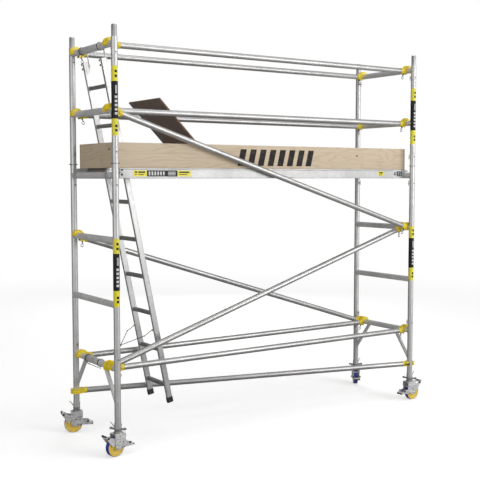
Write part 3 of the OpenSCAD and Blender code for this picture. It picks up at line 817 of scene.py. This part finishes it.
def plywood_edges():
    """The cut edges of the deck panels and the hatch, where the plies show, and the hinges' screws."""
    skin, ply = 0.0004, 0.012
    deck = Shape()
    low, high = node_box("deck_panels")
    inset, trim = 0.003, 0.0012
    for x, out in ((-1.440, 1), (-0.545, -1), (high.x, 1)):
        x_low, x_high = sorted((x, x + out * skin))
        deck.box((x_low, low.y + inset, low.z + trim), (x_high, high.y - inset, DECK_Z - trim))
    deck.piece("deck_edges", "tower", "ply_edge")
    leaf = Shape()
    near, far, half = -0.790, -0.004, 0.266
    top, trim = -0.0075, 0.0008
    foot, head = top - ply + trim, top - trim
    leaf.box((near - skin, -half + 0.001, foot), (near, half - 0.001, head), HATCH)
    leaf.box((far, -half + 0.001, foot), (far + skin, half - 0.001, head), HATCH)
    for side in (-1, 1):
        y_low, y_high = sorted((side * half, side * (half + skin)))
        leaf.box((near, y_low, foot), (far, y_high, head), HATCH)
    leaf.piece("hatch_edges", "hatch", "ply_edge")
    heads, fixed = Shape(), Shape()
    screw, leaf_top = (0.0034, 0.0014), -0.0045
    for y in (-0.180, 0.180):
        for dx in (-0.018, -0.036):
            for dy in (-0.011, 0.011):
                heads.dome(*screw, HATCH @ move(dx - 0.003, y + dy, leaf_top))
        for dx in (0.020, 0.036):
            for dy in (-0.028, 0.0, 0.028):
                fixed.dome(*screw, move(HINGE.x + dx, y + dy, HINGE.z + leaf_top))
    heads.piece("hatch_leaf_screws", "hatch", "hinge")
    fixed.piece("hinge_leaf_screws", "tower", "pin")


# ---- claws ----

def claw_details():
    """Trigger rivets, rolled edges on the hooks' rims, and crimps and a mouth lip on each collar."""
    rivets, rims, lips, crimps = Shape(), Shape(), Shape(), Shape()
    width, rim_r, lip_r, steps = 0.040, 0.0474, 0.0254, 30
    for place in claw_places().values():
        for side in (-1, 1):
            rivets.dome(0.0056, 0.0022, place @ move(0.046, side * width / 2, -0.023) @ facing(side))
        for angle in (60, 180, 300):
            a = radians(angle)
            lift = 0.0255
            crimp = move(0.079, lift * sin(a), -BRACE_DROP + lift * cos(a))
            crimps.dome(0.0045, 0.0011, place @ crimp @ turn(-a, "X"))
        for y in (-0.0165, 0.0, 0.0165):
            rim = [(rim_r * cos(a), y, rim_r * sin(a))
                   for a in (radians(196 - 158 * i / steps) for i in range(steps + 1))]
            rims.sweep(rim, lambda i: 0.0030 * min(1.0, 0.4 + i / 3, 0.4 + (steps - i) / 3), 10, False, place)
        lip = [(lip_r, 0.0), (lip_r + 0.0016, 0.0006), (lip_r + 0.0016, 0.0034), (lip_r, 0.004)]
        lips.lathe(lip, 40, place @ move(0.0835, 0, -BRACE_DROP) @ turn(pi / 2, "Y"))
    rivets.piece("claw_rivets", "tower", "pin")
    rims.piece("claw_rims", "tower", "claw")
    lips.piece("collar_lips", "tower", "claw")
    crimps.piece("collar_rivets", "tower", "hinge")


def trigger_rings():
    """A wire finger ring through each trigger's tail, thicker where a finger pulls it."""
    radius = 0.0115
    for name, place in claw_places().items():
        ring = Shape()
        loop = [(0.059 + radius * cos(a), 0.0012 * sin(a), -0.068 + radius * sin(a))
                for a in full_turn(40)]
        ring.sweep(loop, 0.0022, 8, True, place)
        grip = loop[27:35]
        ring.sweep(grip, lambda i: 0.0028 if i in (0, 7) else 0.0034, 10, False, place)
        ring.piece(f"trigger_ring_{name}", f"trigger_{name}", "wire")


# ---- grip ribs on the rungs ----

def rib(shape, point, out, reach, place):
    """A low rib along Y on a surface at point, which faces out; both are (x, z)."""
    wide, high = 0.0010, 0.00055
    side = (-out[1], out[0])
    profile = [(-1.7 * wide, -0.0003), (-wide, high), (wide, high), (1.7 * wide, -0.0003)]
    section = [(point[0] + side[0] * a + out[0] * b, point[1] + side[1] * a + out[1] * b)
               for a, b in profile]
    shape.rings([[(x, y, z) for x, z in section] for y in (-reach, reach)], place=place)


def rung_ribs():
    """Ribs all round the frames' rungs, and on the flats and corners of the ladder's."""
    frames, ladder = Shape(), Shape()
    for x in (-HALF_L, HALF_L):
        for z in RUNG_ZS:
            for a in full_turn(28):
                out = (cos(a), sin(a))
                rib(frames, (POST_R * out[0], POST_R * out[1]), out, 0.360, move(x, 0, z))
    # the ladder rung is a rounded rectangle: half sizes, corner radius and corner centres
    half_x, half_z, round_r, corner_x, corner_z = 0.0165, 0.0155, 0.009, 0.0075, 0.0065
    diagonal = sqrt(0.5)
    out_x, out_z = corner_x + round_r * diagonal, corner_z + round_r * diagonal
    spots = [((half_x * s, offset), (s, 0)) for s in (-1, 1) for offset in (-0.005, 0, 0.005)]
    spots += [((offset, half_z * s), (0, s)) for s in (-1, 1) for offset in (-0.006, -0.002, 0.002, 0.006)]
    spots += [((out_x * s, out_z * t), (s * diagonal, t * diagonal)) for s in (-1, 1) for t in (-1, 1)]
    reach = LADDER_W / 2 - STILE_T / 2 - 0.003
    for along in LADDER_RUNGS:
        for point, out in spots:
            rib(ladder, point, out, reach, LADDER @ move(0, 0, along))
    frames.piece("frame_rung_ribs", "tower", "rung")
    ladder.piece("ladder_rung_ribs", "tower", "ladder_rung")


# ---- ladder ----

def ladder_details():
    """Swages round the rungs, beads and plugs on the stiles, and the heads of bolts and rivets."""
    swages, grooves, caps = Shape(), Shape(), Shape()
    rounded = round_rect((-0.0075, -0.0065), (0.0075, 0.0065), 0.0096, 5)
    inner, outer = LADDER_W / 2 - STILE_T / 2, LADDER_W / 2 + STILE_T / 2
    for along in LADDER_RUNGS:
        for side in (-1, 1):
            ring = [Vector((x, side * (inner - 0.0008), along + z)) for x, z in rounded]
            swages.sweep(ring, 0.0017, 8, True, LADDER)
    bead = [(-0.0022, -0.0004), (-0.0016, 0.0010), (0.0016, 0.0010), (0.0022, -0.0004)]
    bead_ends = (0.050, STILE_LEN - 0.0005)
    wall = 0.003
    for side in (-1, 1):
        for x in (-STILE_D / 2 + 0.0045, STILE_D / 2 - 0.0045):
            grooves.rings([[(x + dx, side * (outer + out), s) for dx, out in bead] for s in bead_ends],
                          place=LADDER)
        caps.box((-STILE_D / 2 + wall, side * LADDER_W / 2 - STILE_T / 2 + wall, STILE_LEN - 0.012),
                 (STILE_D / 2 - wall, side * LADDER_W / 2 + STILE_T / 2 - wall, STILE_LEN - wall), LADDER)
    swages.piece("ladder_rung_swages", "tower", "weld")
    grooves.piece("stile_beads", "tower", "stile")
    caps.piece("stile_plugs", "tower", "rubber", 0.001)
    bolts, rivets = Shape(), Shape()
    head = [(0.0078, -0.0010), (0.0092, 0.0002), (0.0092, 0.0022), (0.0050, 0.0050), (0.0008, 0.0056)]
    for side in (-1, 1):
        for below in (0.015, 0.052):
            place = (LADDER @ move(-STILE_D / 2 - 0.012, side * LADDER_W / 2, STILE_LEN - below)
                     @ turn(-pi / 2, "Y"))
            bolts.lathe(head, 20, place)
            bolts.lathe([(0.0088, -0.0118), (0.0088, -0.0092)], 20, place)
        for below in (0.012, 0.040):
            place = LADDER @ move(STILE_D / 2 + 0.005, side * 0.156, STILE_LEN - below)
            rivets.dome(0.0042, 0.0016, place @ turn(pi / 2, "Y"))
    bolts.piece("ladder_bolt_heads", "tower", "pin")
    rivets.piece("strap_rivets", "tower", "pin")


# ---- castors ----

MM = Matrix.Scale(0.001, 4)


def castor_details(corner):
    """Beads, bolts, pads and treads; everything here is in millimetres, in the castor's own frame."""
    place = castor_place(corner) @ MM
    axle_x, axle_z = 30, 75
    cheek, skirt = 35, 38
    fork, dark_parts_and_painted_shadow, pads, treads = Shape(), Shape(), Shape(), Shape()
    for side in (-1, 1):
        out = facing(side)
        # pressed beads along the skirt's lower and upper edges, and a dark strip under the skirt that paints
        # the shadow line there
        fork.sweep([(-50, side * skirt, 142), (50, side * skirt, 142)], 2.0, 10, place=place)
        fork.sweep([(-49, side * 36.5, 180.5), (49, side * 36.5, 180.5)], 1.8, 10, place=place)
        y_low, y_high = sorted((side * cheek, side * (cheek + 0.6)))
        dark_parts_and_painted_shadow.box((-48, y_low, 136.8), (46, y_high, 139.6), place)
        for x, y, z in ((-26, 38, 112), (-14, 38, 71), (-34, 38, 71), (8, 39, 117)):
            dark_parts_and_painted_shadow.lathe([(5.2, -0.4), (5.2, 0.8), (3.4, 1.4), (0.6, 1.4)], 20,
                            place @ move(x, side * y, z) @ out)
        washer = place @ move(axle_x, side * cheek, axle_z) @ out
        fork.lathe([(13.5, 0), (13.5, 1.6), (11.5, 2.2), (11.5, 0)], 32, washer, True)
        fork.lathe([(6.2, 0), (6.2, 3.0), (4.8, 4.4), (0.6, 4.6)], 24,
                   place @ move(axle_x, side * 42, axle_z) @ out)
        for x, z in ((-92, 96), (110, 160)):
            pads.lathe([(7.6, -4), (8.2, -3), (8.2, 4.2), (6.6, 5.6), (1.0, 6.0)], 24,
                       place @ move(x, side * 34, z) @ out)
    fork.sweep([(-50.0, -37, 142), (-50.0, 37, 142)], 2.0, 10, place=place)
    fork.piece(f"fork_beads_{corner}", f"fork_{corner}", "zinc")
    # dust seal of the ball race
    seal = [(31.5, 183.0), (35.8, 183.2), (36.6, 184.6), (35.8, 186.2), (31.5, 186.4)]
    dark_parts_and_painted_shadow.lathe(seal, 56, place, True)
    # this piece holds the dark bolt heads, the seal and the painted shadow strip under the skirt
    dark_parts_and_painted_shadow.piece(f"fork_bolts_seal_and_painted_shadow_{corner}", f"fork_{corner}", "wire")
    for x, z in ((-131, 74), (128, 175)):
        bar = [(x, y, z) for y in (-31.5, -30, 30, 31.5)]
        pads.sweep(bar, lambda i: 4.2 if i in (0, 3) else 6.4, 16, place=place)
    pads.piece(f"pedal_pads_{corner}", f"brake_{corner}", "rubber")
    for x0, z0, x1, z1 in ((-131, 74, -108, 85), (127, 174, 112, 164)):
        for t in (0.25, 0.5, 0.75):
            x, z = x0 + (x1 - x0) * t, z0 + (z1 - z0) * t + 3.1
            treads.sweep([(x, -24, z), (x, 24, z)], 1.1, 8, place=place)
    treads.piece(f"pedal_treads_{corner}", f"brake_{corner}", "zinc")
    # screw thread where the stem shows
    thread = Shape()
    low, high, pitch, radius, per_turn = 193.6, 200.2, 3.2, 19.0, 48
    steps = int((high - low) / pitch * per_turn)
    helix = [(radius * cos(2 * pi * i / per_turn), radius * sin(2 * pi * i / per_turn),
              low + (high - low) * i / steps) for i in range(steps + 1)]
    thread.sweep(helix, 0.8, 6, place=move(*posts[corner], 0) @ MM)
    thread.piece(f"stem_thread_{corner}", "tower", "dark_zinc")


rung_welds()
knee_welds()
post_labels()
beam_labels()
toe_boards()
platform_details()
hook_castings()
plywood_edges()
claw_details()
trigger_rings()
rung_ribs()
ladder_details()
for corner in CORNERS:
    castor_details(corner)


# ---- floor, light and camera ----

# The room is brighter towards BRIGHT_SIDE: DOT_LOW to DOT_HIGH that way is strength ROOM_LOW to ROOM_HIGH
BRIGHT_SIDE = (0.70, -0.70, 0.14)
ROOM_LOW, ROOM_HIGH = 0.20, 0.64
DOT_LOW, DOT_HIGH = -0.55, 0.85
# Lifts the paper that the camera sees close by to the photo's white
PAPER_GLOW = 0.44


def room_strength(nodes, direction):
    """How bright the room is in a direction."""
    toward = nodes.add("VectorMath", {0: direction, 1: BRIGHT_SIDE}, operation="DOT_PRODUCT")
    return nodes.add("MapRange", {"Value": toward.outputs["Value"], "From Min": DOT_LOW, "From Max": DOT_HIGH,
                                  "To Min": ROOM_LOW, "To Max": ROOM_HIGH}).outputs[0]


def paper_floor():
    """A pale sheet that fades to white far out."""
    size = 60.0
    mesh = bpy.data.meshes.new("floor")
    corners = [(-size, -size, 0), (size, -size, 0), (size, size, 0), (-size, size, 0)]
    mesh.from_pydata(corners, [], [[0, 1, 2, 3]])
    floor = bpy.data.objects.new("floor", mesh)
    bpy.context.scene.collection.objects.link(floor)
    s = Shader("floor_paper", Roughness=0.85)
    distance = s.add("VectorMath", {0: s.coords((1, 1, 0))}, operation="LENGTH").outputs["Value"]
    away = s.math("DIVIDE", distance, 14.0, clamp=True)  # 0 in the middle, 1 from 14 m out
    fade = s.ramp(away, (0.30, 0.0), (0.85, 1.0))
    grain = s.spread(s.speckle(3.0, 4), 0.86, 0.90)
    s.done(grain)
    near = s.add("AddShader")
    seen = s.add("MixShader", {0: fade})
    # what the metal sees of it: dark close by, and as bright as the room far out
    bounce = s.add("BsdfDiffuse", {"Color": (0.30, 0.30, 0.30, 1)})
    outward = s.add("VectorMath", {0: s.coords((1, 1, 0))}, operation="NORMALIZE").outputs[0]
    far = s.ramp(away, (0.08, 0.0), (0.40, 1.0))
    unseen = s.add("MixShader", {0: far})
    path = s.add("LightPath")
    floor_mix = s.add("MixShader", {0: path.outputs["Is Camera Ray"]})
    for out, into in ((s.bsdf.outputs[0], near.inputs[0]), (s.glow(PAPER_GLOW), near.inputs[1]),
                      (near.outputs[0], seen.inputs[1]), (s.glow(1.0), seen.inputs[2]),
                      (bounce.outputs[0], unseen.inputs[1]),
                      (s.glow(room_strength(s, outward)), unseen.inputs[2]),
                      (unseen.outputs[0], floor_mix.inputs[1]), (seen.outputs[0], floor_mix.inputs[2]),
                      (floor_mix.outputs[0], s.tree.nodes["Material Output"].inputs["Surface"])):
        s.tree.links.new(out, into)
    mesh.materials.append(s.mat)


def room_light():
    """White to the camera, and room_strength to everything else."""
    world = bpy.data.worlds.new("studio")
    world.use_nodes = True
    bpy.context.scene.world = world
    n = Nodes(world.node_tree)
    shade = room_strength(n, n.add("TexCoord").outputs["Generated"])
    seen = n.add("LightPath").outputs["Is Camera Ray"]
    background = n.tree.nodes["Background"].inputs
    n.put(background["Color"], (1, 1, 1, 1))
    n.put(background["Strength"], n.math("MAXIMUM", shade, seen))


def lamps_and_camera():
    scene = bpy.context.scene
    for name, place, aim, width, power in (
            ("key", (4.5, -8.0, 3.6), (0, 0, 1.6), 5.0, 340),
            ("fill", (-9.0, -3.6, 2.2), (0, 0, 1.2), 7.0, 235),
            ("top", (0.0, -1.5, 8.5), (0, 0, 0), 5.0, 110),
            ("rim", (4.0, 7.0, 3.0), (0, 0, 1.8), 3.0, 80)):
        light = bpy.data.objects.new(name, bpy.data.lights.new(name, "AREA"))
        light.data.size = width
        light.data.energy = power
        light.location = place
        light.rotation_euler = (Vector(aim) - Vector(place)).to_track_quat("-Z", "Y").to_euler()
        scene.collection.objects.link(light)

    camera = bpy.data.objects.new("camera", bpy.data.cameras.new("camera"))
    camera.data.lens = 66.96
    camera.data.sensor_width = 36
    camera.data.clip_end = 200
    camera.location = MIDDLE + Vector((-4.617, -6.583, 2.172))
    camera.rotation_euler = (radians(85.93), 0, radians(-34.11))
    scene.collection.objects.link(camera)
    scene.camera = camera
    scene.view_settings.view_transform = "Standard"


paper_floor()
room_light()
lamps_and_camera()
